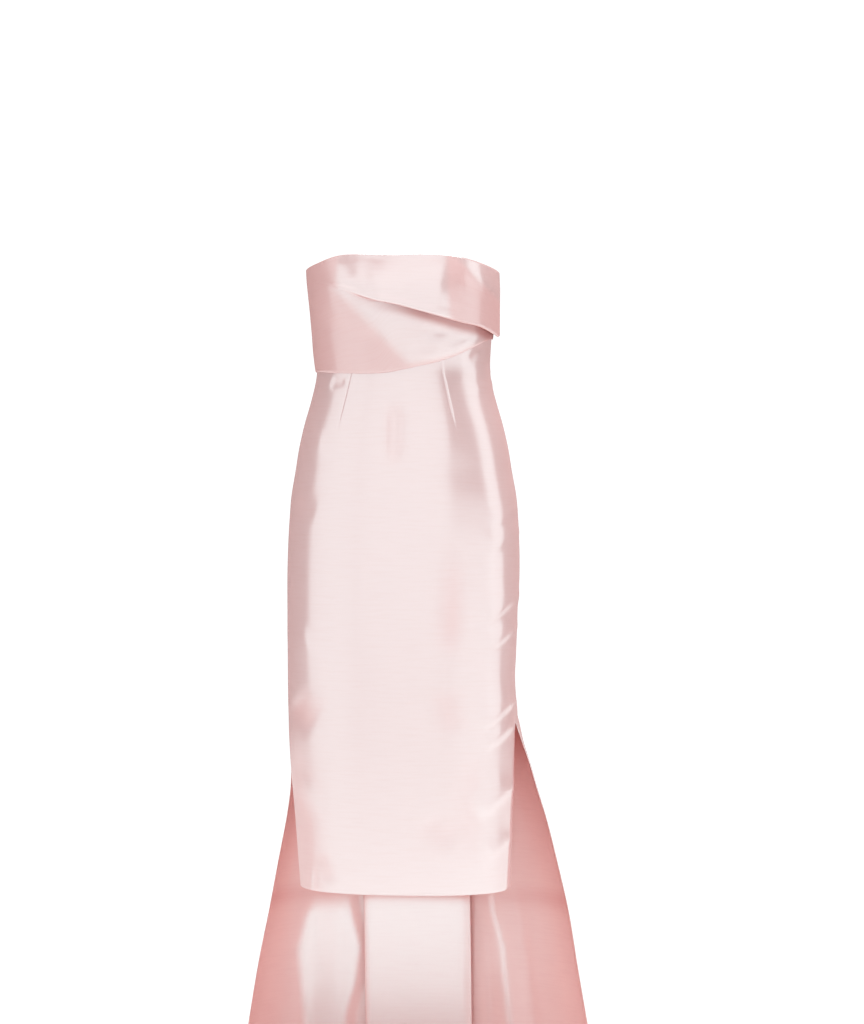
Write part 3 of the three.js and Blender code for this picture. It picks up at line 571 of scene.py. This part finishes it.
def makeBand():
    across = np.linspace(-1, 1, band["columns"] + 1)
    reach = reachOf(across, band["level"])
    top = frontTop(across)
    tuck, lower, drape = (curveAt(bandLines, "reach", name, reach) for name in ("tuck", "lower", "drape"))
    strength = np.maximum(smoothStep(*band["grows"], reach), band["leastStrength"])
    turn = strength * math.pi
    radius = band["tuckRadius"] + band["softRadius"] * (1 - strength) ** 2
    under = mix(band["shallow"], band["tuckDepth"], smoothStep(0.5, 1, strength))
    outset = 2 * radius * (1 - np.cos(turn)) + under * np.sin(turn)
    foldOut = band["clear"] + outset
    foldZ = tuck + wallHalf + radius * np.sin(np.minimum(turn, math.pi / 2))
    out, height, loose = [], [], []
    # the upper part, from the top edge down to the fold
    for row in range(band["upper"]):
        share = row / band["upper"]
        out.append(mix(band["topClear"], foldOut, share))
        height.append(mix(top, foldZ, share))
        loose.append(share ** 0.5 * (1 - smoothStep(0.85, 1, share)))
    # round the fold, up behind it, and round again into the lower part
    for row in range(band["bend"] + 1):
        angle = turn * row / band["bend"]
        out.append(foldOut - radius * (1 - np.cos(angle)))
        height.append(foldZ - radius * np.sin(angle))
        loose.append(0)
    endOut, endZ = out[-1], height[-1]
    for row in range(1, band["under"] + 1):
        share = row / band["under"]
        out.append(endOut - share * under * np.sin(turn))
        height.append(endZ - share * under * np.cos(turn))
        loose.append(0)
    endOut, endZ = out[-1], height[-1]
    for row in range(1, band["bend"] + 1):
        angle = turn * (1 - row / band["bend"])
        out.append(endOut - radius * (np.cos(angle) - np.cos(turn)))
        height.append(endZ - radius * (np.sin(turn) - np.sin(angle)))
        loose.append(0)
    startOut, startZ = out[-1], height[-1]
    lowerFrom = len(out)
    # the lower part, which drapes a little away from the front
    for row in range(1, band["lower"] + 1):
        share = row / band["lower"]
        out.append(startOut + drape * np.sin(math.pi * share ** band["drapeLow"]) ** band["drapeFull"])
        height.append(mix(startZ, lower, share))
        loose.append(smoothStep(0, 0.2, share) * (1 - smoothStep(0.8, 1, share)))
    out, height = np.array(out), np.array(height)
    loose = np.array([np.broadcast_to(value, out.shape[1:]) for value in loose])
    rows = len(out)
    before = np.clip(np.arange(rows) - 1, 0, None)
    after = np.clip(np.arange(rows) + 1, None, rows - 1)
    alongOut, alongZ = out[after] - out[before], height[after] - height[before]
    length = np.hypot(alongOut, alongZ)
    faceOut, faceZ = -alongZ / length, alongOut / length
    acrossGrid = np.broadcast_to(across, out.shape)
    x = frontOutline(acrossGrid, height)[0]
    isLower = (np.arange(rows) >= lowerFrom)[:, None]
    relief = loose * np.where(isLower, creaseField(band["lowerCreases"], x, height),
                              creaseField(band["upperCreases"], x, height))
    inner = wallHalf - thickness
    face = frontPoint(acrossGrid, height + faceZ * wallHalf, out + faceOut * wallHalf + relief)
    inside = frontPoint(acrossGrid, height + faceZ * inner, out + faceOut * inner + relief)
    stepsDown = np.hypot(np.diff(out, axis=0), np.diff(height, axis=0))
    down = np.concatenate([np.zeros((1, len(across))), np.cumsum(stepsDown, axis=0)])
    row = np.arange(rows)[:, None]
    # painted shade on the band: the sheen is lowered and the pink deepened in these places
    inLowerShade = smoothStep(*band["lowerShadeEdge"], sideOf(band["lowerShadeLine"], x, height)) * isLower
    atLeft = 1 - smoothStep(*band["leftShadeEdge"], x)
    pastCrease = smoothStep(*band["rightEdge"], sideOf(band["rightCrease"], x, height))
    atSides = (atLeft + smoothStep(*band["rightShadeEdge"], x) * pastCrease) * (1 - isLower)
    inRoll = smoothStep(*band["roll"], np.clip((row - lowerFrom) / band["lower"], 0, 1)) * (1 - inLowerShade)
    underTuck = smoothStep(*band["shadeGrows"], reach) * (1 - smoothStep(*band["shadeFall"], tuck - radius - height))
    turnedUnder = (row > band["upper"] + band["bend"] * band["bendShades"]) * strength
    shaded = np.where(isLower, underTuck, turnedUnder)
    paintedSheen = 1 - band["sidePaintedShade"] * atSides - band["lowerPaintedShade"] * inLowerShade - band["rollPaintedShade"] * inRoll
    paintedSheen = paintedSheen * (1 - band["shadeDulls"] * shaded)
    paintedShade = shaded + band["paintedShadeDeepens"] * (1 - shaded) * (inLowerShade + atSides)
    piece = clothWall("draped_band_cloth", face, inside, down, (paintedSheen, paintedShade))
    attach(piece, "dress")
    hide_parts("draped_band")


back = {
    "rows": 280, "run": 92, "bend": 8, "return": 20, "creasesEnd": 0.93,
    # places on the inside, as depth below the waist and x: a painted pale streak, and the two edges of a painted
    # light panel
    "streak": [(857, 123), (920, 140), (1042, 151), (1140, 156)],
    "panelIn": [(850, 112), (872, 109), (928, 97), (985, 105), (1040, 121), (1140, 130)],
    "panelOut": [(850, 170), (872, 180), (928, 194), (985, 191), (1040, 188), (1140, 186)],
    # how much painted sheen shows on the reverse of each half, and between which heights or breadths it comes in
    "leftSheen": {"quiet": 0.1, "streak": 0.75, "streakWidth": 3.5, "streakFrom": (-800, -870),
                  "low": 0.12, "lowFrom": (-780, -880),
                  "inner": 0.22, "innerFrom": (-860, -930), "innerEdge": (106, 116), "streakEdge": (-3, 2)},
    "rightPaintedSheen": {"quiet": 0.12, "panel": 1.3, "panelFrom": (-832, -876), "inEdge": (-5, 6), "outEdge": (-9, 9),
                   "low": 0.5, "lowFrom": (-780, -880), "lowEdge": (-22, -12)},
    # painted shade on the inside: in the hollow below the hips, at the slit's top, and a painted shadow of the front
    # hem
    "insideShade": 0.3, "insideShadeEnds": -980, "slitShade": 0.6, "slitShadeEnds": -640,
    "hemShade": 0.25, "hemShadeAt": -833, "hemShadeWidth": 12,
    "leftCreases": [
        (138, 6, 88, -22, -1.5, 7, 6), (144, -20, 92, -54, -1.4, 8, 6), (178, -226, 96, -282, -2.1, 13, 9),
        (180, -338, 104, -396, -2.2, 14, 9), (178, -440, 108, -500, -2.0, 14, 9),
        (40, -30, 118, -74, -1.4, 10, 9), (48, 26, 132, 72, -1.2, 8, 9), (38, 126, 128, 88, -1.0, 9, 8),
        (96, -300, 92, -560, -2.0, 16, 20), (128, -560, 150, -1130, -2.6, 22, 16),
        (160, -790, 197, -1136, 2.4, 9, 12), (88, -620, 96, -1000, 1.8, 18, 20),
    ],
    "rightCreases": [
        (138, 2, 84, -16, -1.4, 6, 7), (146, -24, 98, -62, -1.4, 6, 8), (178, -200, 90, -262, -2.0, 9, 14),
        (181, -318, 108, -368, -2.1, 9, 14), (179, -452, 100, -524, -2.1, 9, 14),
        (36, -24, 112, -78, -1.5, 9, 10), (44, 38, 134, 64, -1.1, 9, 8), (40, 130, 126, 90, -1.0, 8, 9),
        (100, -280, 94, -520, -1.8, 20, 16), (116, -600, 128, -1120, 2.2, 20, 18),
        (150, -640, 176, -1130, -2.8, 14, 20), (196, -820, 226, -1134, 2.0, 12, 12),
    ],
}


def makeBack(name, node, side, creases):
    share, column = gridOf(back["rows"], back["run"] + back["bend"] + back["return"])
    runShare = np.minimum(column / back["run"], 1)
    z = mix(floorHem, backTop(side, runShare), share)
    radius, foldTurn = foldRadius(z), returnTurn(side, z, 0)
    turn = foldTurn * runShare
    x = np.abs(backOutline(side, turn, z)[0])
    relief = creaseField(creases, x, z) * smoothStep(1, back["creasesEnd"], runShare)
    # the run is what shows, the bend is the rolled edge at centre back, and the return is the cloth behind it
    runFace = backPoint(side, turn, z, -relief)
    runBack = backPoint(side, turn, z, thickness - relief)
    angle = math.pi * np.clip((column - back["run"]) / back["bend"], 0, 1)
    centre = backPoint(side, foldTurn, z, wallHalf + radius)
    away = backPoint(side, foldTurn, z, 0) - centre
    away /= np.linalg.norm(away, axis=2)[..., None]
    around = np.stack([-side * away[..., 1], side * away[..., 0], np.zeros_like(z)], -1)
    spoke = away * np.cos(angle)[..., None] + around * np.sin(angle)[..., None]
    bendFace = centre + spoke * (radius + wallHalf)[..., None]
    bendBack = centre + spoke * (radius + wallHalf - thickness)[..., None]
    returnShare = np.clip((column - back["run"] - back["bend"]) / back["return"], 0, 1)
    returnAt = returnTurn(side, z, returnShare)
    depth = mix(wallHalf + 2 * radius, returnInset(z), returnShare) + wallHalf
    returnFace = backPoint(side, returnAt, z, depth)
    returnBack = backPoint(side, returnAt, z, depth - thickness)
    onRun = (column <= back["run"])[..., None]
    onBend = (column <= back["run"] + back["bend"])[..., None]
    face = np.where(onRun, runFace, np.where(onBend, bendFace, returnFace))
    inside = np.where(onRun, runBack, np.where(onBend, bendBack, returnBack))
    # painted sheen on the reverse: a pale streak on the left half, a light panel on the right
    if side > 0:
        given = back["leftSheen"]
        fromStreak = x - np.interp(-z, *zip(*back["streak"]))
        streak = bell(fromStreak, given["streakWidth"]) * smoothStep(*given["streakFrom"], z)
        inner = smoothStep(*given["innerEdge"], x) * (1 - smoothStep(*given["streakEdge"], fromStreak))
        paintedSheen = (mix(given["quiet"], given["streak"], streak) + given["low"] * smoothStep(*given["lowFrom"], z)
                 + given["inner"] * inner * smoothStep(*given["innerFrom"], z))
    else:
        given = back["rightPaintedSheen"]
        fromIn = x - np.interp(-z, *zip(*back["panelIn"]))
        fromOut = np.interp(-z, *zip(*back["panelOut"])) - x
        panel = smoothStep(*given["inEdge"], fromIn) * smoothStep(*given["outEdge"], fromOut)
        paintedSheen = (mix(given["quiet"], given["panel"], panel * smoothStep(*given["panelFrom"], z))
                 + given["low"] * (1 - smoothStep(*given["lowEdge"], fromIn)) * smoothStep(*given["lowFrom"], z))
    insideShade = (back["insideShade"] * smoothStep(back["insideShadeEnds"], slitTop, z)
              + back["slitShade"] * smoothStep(back["slitShadeEnds"], slitTop, z)
              + back["hemShade"] * bell(z - back["hemShadeAt"], back["hemShadeWidth"]))
    piece = clothWall(name, face, inside, z, reverse=(paintedSheen, np.minimum(insideShade, 1)))
    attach(piece, "dress")
    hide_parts(node)


underlay = {
    "rows": 150, "half": 22, "behind": 0.9,
    "paintedSheen": 1.25, "leftEdge": (-92, -76), "rightEdge": (66, 92), "rightPaintedShade": 0.5,
    "insideShadeEnds": -960, "hemShade": 0.5, "hemShadeWidth": 9, "hemPaintedShadow": 0.95,
}


def makeUnderlay():
    half = underlay["half"]
    share, column = gridOf(underlay["rows"], 2 * half + 1)
    z = mix(floorHem, pleatTop, share)
    depth = returnInset(z) + underlay["behind"]
    right = returnTurn(-1, z, np.clip(1 - column / half, 0, 1))
    left = returnTurn(1, z, np.clip((column - half - 1) / half, 0, 1))
    onRight = (column <= half)[..., None]
    face = np.where(onRight, backPoint(-1, right, z, depth), backPoint(1, left, z, depth))
    inside = np.where(onRight, backPoint(-1, right, z, depth + thickness), backPoint(1, left, z, depth + thickness))
    x = inside[..., 0]
    # painted sheen on the underlay, painted shade towards its right edge and a painted shadow of the front hem
    # across it
    inHemShade = bell(z - back["hemShadeAt"], underlay["hemShadeWidth"])
    paintedSheen = underlay["paintedSheen"] * smoothStep(*underlay["leftEdge"], x)
    paintedSheen = paintedSheen * (1 - underlay["rightPaintedShade"] * smoothStep(*underlay["rightEdge"], x))
    paintedSheen = paintedSheen * (1 - underlay["hemPaintedShadow"] * inHemShade)
    insideShade = (back["insideShade"] * smoothStep(underlay["insideShadeEnds"], slitTop, z)
              + underlay["hemShade"] * inHemShade)
    piece = clothWall("pleat_underlay_cloth", face, inside, z, reverse=(paintedSheen, np.minimum(insideShade, 1)))
    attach(piece, "dress")
    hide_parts("pleat_underlay")


makeFront()
makeBand()
makeBack("back_left_cloth", "back_left", 1, back["leftCreases"])
makeBack("back_right_cloth", "back_right", -1, back["rightCreases"])
makeUnderlay()
print("cloth is made")


zipper = {
    "treeInputs": {
        "Pitch": 1.35, "Tooth Length": 2.1, "Tooth Depth": 1.05, "Tooth Thickness": 0.62, "Stagger": 1.5,
    },
    "teethIn": 0.35, "lean": 0.3, "linePoints": 200,  # the lean of a tooth is in radians
    "bottom": -203, "top": 136.2, "halfWidth": 3.5, "inset": 3.5, "tapeThick": 0.9, "coilThick": 1.6,
    "tapeBelow": 1, "tapeAbove": 0.5, "tapeRows": 120, "tapeColumns": 9, "tapeRib": 0.0016,
    "nylon": ("#DDB3AF", "#CFA29E"), "tape": ("#D3A8A4", "#E2BDB9"), "enamel": ("#D9B9B6", "#D2AFAC"),
}


# moulded nylon coil on woven tape: a dusty pink, a shade deeper and duller than the cloth
def makeNylon():
    material, tree = newMaterial("zip_nylon_moulded")
    place = addNode(tree, "ShaderNodeTexCoord")
    cloud = addNode(tree, "ShaderNodeTexNoise", {"Vector": place.outputs["Object"], "Scale": 400.0, "Detail": 2.0})
    colour = addNode(tree, "ShaderNodeMix", {
        "Factor": cloud.outputs["Fac"], 6: linearColour(zipper["nylon"][0]), 7: linearColour(zipper["nylon"][1]),
    }, data_type="RGBA")
    rough = addNode(tree, "ShaderNodeMapRange", {"Value": cloud.outputs["Fac"], "To Min": 0.34, "To Max": 0.46})
    shader = addNode(tree, "ShaderNodeBsdfPrincipled", {
        "Base Color": colour.outputs[2], "Roughness": rough.outputs["Result"], "IOR": 1.53,
    })
    addNode(tree, "ShaderNodeOutputMaterial", {"Surface": shader.outputs["BSDF"]})
    return material


# plain weave polyester tape, seen as a matt pink with fine ribs; 0.8 mm ribs are drawn 1.6 mm apart so they show
def makeTape():
    material, tree = newMaterial("zip_tape_woven")
    place = addNode(tree, "ShaderNodeTexCoord")
    warp = addNode(tree, "ShaderNodeTexWave", {
        "Vector": place.outputs["Object"], "Scale": waveScale(zipper["tapeRib"]), "Distortion": 0.4,
    }, bands_direction="X")
    weft = addNode(tree, "ShaderNodeTexWave", {
        "Vector": place.outputs["Object"], "Scale": waveScale(zipper["tapeRib"]), "Distortion": 0.4,
    }, bands_direction="Z")
    weave = addNode(tree, "ShaderNodeMath", {0: warp.outputs["Fac"], 1: weft.outputs["Fac"]}, operation="MULTIPLY")
    colour = addNode(tree, "ShaderNodeMix", {
        "Factor": weave.outputs[0], 6: linearColour(zipper["tape"][0]), 7: linearColour(zipper["tape"][1]),
    }, data_type="RGBA")
    bump = addNode(tree, "ShaderNodeBump", {"Strength": 0.3, "Distance": 0.0001, "Height": weave.outputs[0]})
    shader = addNode(tree, "ShaderNodeBsdfPrincipled", {
        "Base Color": colour.outputs[2], "Roughness": 0.75, "IOR": 1.5, "Normal": bump.outputs["Normal"],
    })
    addNode(tree, "ShaderNodeOutputMaterial", {"Surface": shader.outputs["BSDF"]})
    return material


# slider and pull: die-cast zinc under a stoved enamel, seen as an even pink with a soft gloss
def makeEnamel():
    material, tree = newMaterial("zip_enamel_on_zinc")
    place = addNode(tree, "ShaderNodeTexCoord")
    speck = addNode(tree, "ShaderNodeTexNoise", {"Vector": place.outputs["Object"], "Scale": 900.0})
    colour = addNode(tree, "ShaderNodeMix", {
        "Factor": speck.outputs["Fac"], 6: linearColour(zipper["enamel"][0]), 7: linearColour(zipper["enamel"][1]),
    }, data_type="RGBA")
    rough = addNode(tree, "ShaderNodeMapRange", {"Value": speck.outputs["Fac"], "To Min": 0.22, "To Max": 0.36})
    bump = addNode(tree, "ShaderNodeBump", {"Strength": 0.1, "Distance": 0.00005, "Height": speck.outputs["Fac"]})
    shader = addNode(tree, "ShaderNodeBsdfPrincipled", {
        "Base Color": colour.outputs[2], "Roughness": rough.outputs["Result"], "IOR": 1.5,
        "Coat Weight": 0.4, "Normal": bump.outputs["Normal"],
    })
    addNode(tree, "ShaderNodeOutputMaterial", {"Surface": shader.outputs["BSDF"]})
    return material


# a row of teeth along a line, every other one leaning the other way; its sizes are the tree's named inputs
def toothTree(material):
    tree = bpy.data.node_groups.new("zip_teeth", "GeometryNodeTree")
    face = tree.interface
    face.new_socket("Geometry", in_out="INPUT", socket_type="NodeSocketGeometry")
    for name in zipper["treeInputs"]:
        face.new_socket(name, in_out="INPUT", socket_type="NodeSocketFloat")
    face.new_socket("Geometry", in_out="OUTPUT", socket_type="NodeSocketGeometry")
    given = addNode(tree, "NodeGroupInput")
    line = addNode(tree, "GeometryNodeMeshToCurve", {"Mesh": given.outputs["Geometry"]})
    spaced = addNode(tree, "GeometryNodeResampleCurve", {
        "Curve": line.outputs["Curve"], "Length": given.outputs["Pitch"],
    }, mode="LENGTH")
    points = addNode(tree, "GeometryNodeCurveToPoints", {"Curve": spaced.outputs["Curve"]}, mode="EVALUATED")
    tooth = addNode(tree, "GeometryNodeMeshUVSphere", {"Segments": 10, "Rings": 7, "Radius": 0.5})
    size = addNode(tree, "ShaderNodeCombineXYZ", {
        "X": given.outputs["Tooth Length"], "Y": given.outputs["Tooth Depth"],
        "Z": given.outputs["Tooth Thickness"],
    })
    index = addNode(tree, "GeometryNodeInputIndex")
    odd = addNode(tree, "ShaderNodeMath", {0: index.outputs["Index"], 1: 2.0}, operation="MODULO")
    offset = addNode(tree, "ShaderNodeMath", {0: odd.outputs[0], 1: 0.5}, operation="SUBTRACT")
    side = addNode(tree, "ShaderNodeMath", {0: offset.outputs[0], 1: given.outputs["Stagger"]}, operation="MULTIPLY")
    aside = addNode(tree, "ShaderNodeCombineXYZ", {"X": side.outputs[0]})
    shifted = addNode(tree, "GeometryNodeSetPosition", {
        "Geometry": points.outputs["Points"], "Offset": aside.outputs["Vector"],
    })
    lean = addNode(tree, "ShaderNodeMapRange", {
        "Value": odd.outputs[0], "To Min": -zipper["lean"], "To Max": zipper["lean"],
    })
    turn = addNode(tree, "ShaderNodeCombineXYZ", {"Y": lean.outputs["Result"]})
    teeth = addNode(tree, "GeometryNodeInstanceOnPoints", {
        "Points": shifted.outputs["Geometry"], "Instance": tooth.outputs["Mesh"], "Rotation": turn.outputs["Vector"],
        "Scale": size.outputs["Vector"],
    })
    real = addNode(tree, "GeometryNodeRealizeInstances", {"Geometry": teeth.outputs["Instances"]})
    coated = addNode(tree, "GeometryNodeSetMaterial", {"Geometry": real.outputs["Geometry"], "Material": material})
    addNode(tree, "NodeGroupOutput", {"Geometry": coated.outputs["Geometry"]})
    return tree


def makeZip():
    nylon, tape = makeNylon(), makeTape()
    size = (zipper["tapeRows"], zipper["tapeColumns"])
    z = np.linspace(zipper["bottom"] - zipper["tapeBelow"], zipper["top"] + zipper["tapeAbove"], size[0])[:, None]
    x = np.linspace(-zipper["halfWidth"], zipper["halfWidth"], size[1])[None, :]
    y = body("back", z) - zipper["inset"] - (zipper["coilThick"] - zipper["tapeThick"])
    grid = [np.broadcast_to(part, size) for part in (x, y, z)]
    outer = np.stack(grid, -1)
    inner = np.stack([grid[0], grid[1] - zipper["tapeThick"], grid[2]], -1)
    strip = clothWall("zip_tape", outer, inner, grid[2])
    strip.data.materials.clear()
    strip.data.materials.append(tape)
    strip.data.polygons.foreach_set("material_index", np.zeros(len(strip.data.polygons), np.int32))
    line = bpy.data.meshes.new("zip_line")
    z = np.linspace(zipper["bottom"], zipper["top"], zipper["linePoints"])
    path = np.stack([np.zeros_like(z), body("back", z) - zipper["inset"] - zipper["teethIn"], z], -1) / 1000
    line.from_pydata(path.tolist(), [(i, i + 1) for i in range(len(path) - 1)], [])
    holder = bpy.data.objects.new("zip_line", line)
    scene.collection.objects.link(holder)
    grown = holder.modifiers.new("teeth", "NODES")
    grown.node_group = toothTree(nylon)
    for socket in grown.node_group.interface.items_tree:
        if socket.name in zipper["treeInputs"]:
            grown[socket.identifier] = zipper["treeInputs"][socket.name] / 1000
    bpy.context.view_layer.update()
    mesh = bpy.data.meshes.new_from_object(holder.evaluated_get(bpy.context.evaluated_depsgraph_get()))
    bpy.data.objects.remove(holder)
    teeth = bpy.data.objects.new("zip_teeth", mesh)
    scene.collection.objects.link(teeth)
    mesh.shade_smooth()
    print(f"zip_teeth: {len(mesh.polygons)} faces")
    for piece in (strip, teeth):
        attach(piece, "dress")
    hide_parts("zip_coil")


makeZip()
enamel = makeEnamel()
for name in ("zip_slider", "zip_pull"):
    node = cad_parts[name]
    node.data.materials.clear()
    node.data.materials.append(enamel)
print("zip is finished")


def makeFloor():
    mesh = bpy.data.meshes.new("floor")
    reach = studio["floorReach"]
    level = floorHem / 1000 - 0.001
    turns = np.linspace(0, 2 * math.pi, studio["floorCorners"] + 1)[:-1]
    corners = [(reach * math.cos(turn), reach * math.sin(turn), level) for turn in turns]
    mesh.from_pydata(corners, [], [tuple(range(len(corners)))])
    material, tree = newMaterial("floor_matt_paint")
    shader = addNode(tree, "ShaderNodeBsdfPrincipled", {
        "Base Color": linearColour(studio["floorColour"]), "Roughness": studio["floorRoughness"],
    })
    addNode(tree, "ShaderNodeOutputMaterial", {"Surface": shader.outputs["BSDF"]})
    mesh.materials.append(material)
    floor = bpy.data.objects.new("floor", mesh)
    scene.collection.objects.link(floor)


def makeLight(name, at, aim, width, height, brightness):
    lamp = bpy.data.lights.new(name, "AREA")
    lamp.shape = "RECTANGLE"
    lamp.size, lamp.size_y = width, height
    lamp.energy = math.pi * width * height * brightness
    light = bpy.data.objects.new(name, lamp)
    scene.collection.objects.link(light)
    light.location = at
    light.rotation_euler = (Vector(aim) - Vector(at)).to_track_quat("-Z", "Y").to_euler()


# a film-like shoulder: each channel is held back as it nears white
def softenHighlights():
    view = scene.view_settings
    view.use_curve_mapping = True
    mapping = view.curve_mapping
    mapping.white_level = (studio["whiteLevel"],) * 3
    curve = mapping.curves[3]
    for at, value in studio["shoulder"]:
        curve.points.new(at, value)
    mapping.update()


def makeStudio():
    makeFloor()
    world = bpy.data.worlds.new("studio")
    world.use_nodes = True
    tree = world.node_tree
    tree.nodes.clear()
    ray = addNode(tree, "ShaderNodeLightPath")
    seen = addNode(tree, "ShaderNodeBackground", {"Color": (1, 1, 1, 1), "Strength": studio["worldSeen"]})
    lit = addNode(tree, "ShaderNodeBackground", {"Color": (1, 1, 1, 1), "Strength": studio["worldLights"]})
    both = addNode(tree, "ShaderNodeMixShader", {
        0: ray.outputs["Is Camera Ray"], 1: lit.outputs["Background"], 2: seen.outputs["Background"],
    })
    addNode(tree, "ShaderNodeOutputWorld", {"Surface": both.outputs["Shader"]})
    scene.world = world
    for panel in studio["panels"]:
        turn, height = math.radians(panel["turn"]), panel["high"] - panel["low"]
        level = (panel["high"] + panel["low"]) / 2
        at = (panel["away"] * math.sin(turn), -panel["away"] * math.cos(turn), level)
        makeLight(f"panel_{panel['name']}", at, (0, 0, level), panel["width"], height, panel["brightness"])
    for box in studio["ceiling"]:
        makeLight(box["name"], box["at"], box["aim"], box["width"], box["depth"], box["brightness"])
    scene.objects["backdrop"].visible_glossy = False  # it lights the floor only, so the satin doesn't mirror it
    scene.view_settings.view_transform = "Standard"
    softenHighlights()
    lens = bpy.data.cameras.new("camera")
    lens.lens, lens.sensor_width = camera["lens"], camera["sensor"]
    holder = bpy.data.objects.new("camera", lens)
    holder.location = camera["at"]
    holder.rotation_euler = (math.radians(90), 0, math.radians(camera["turn"]))
    scene.collection.objects.link(holder)
    scene.camera = holder


makeStudio()
print("studio is set")
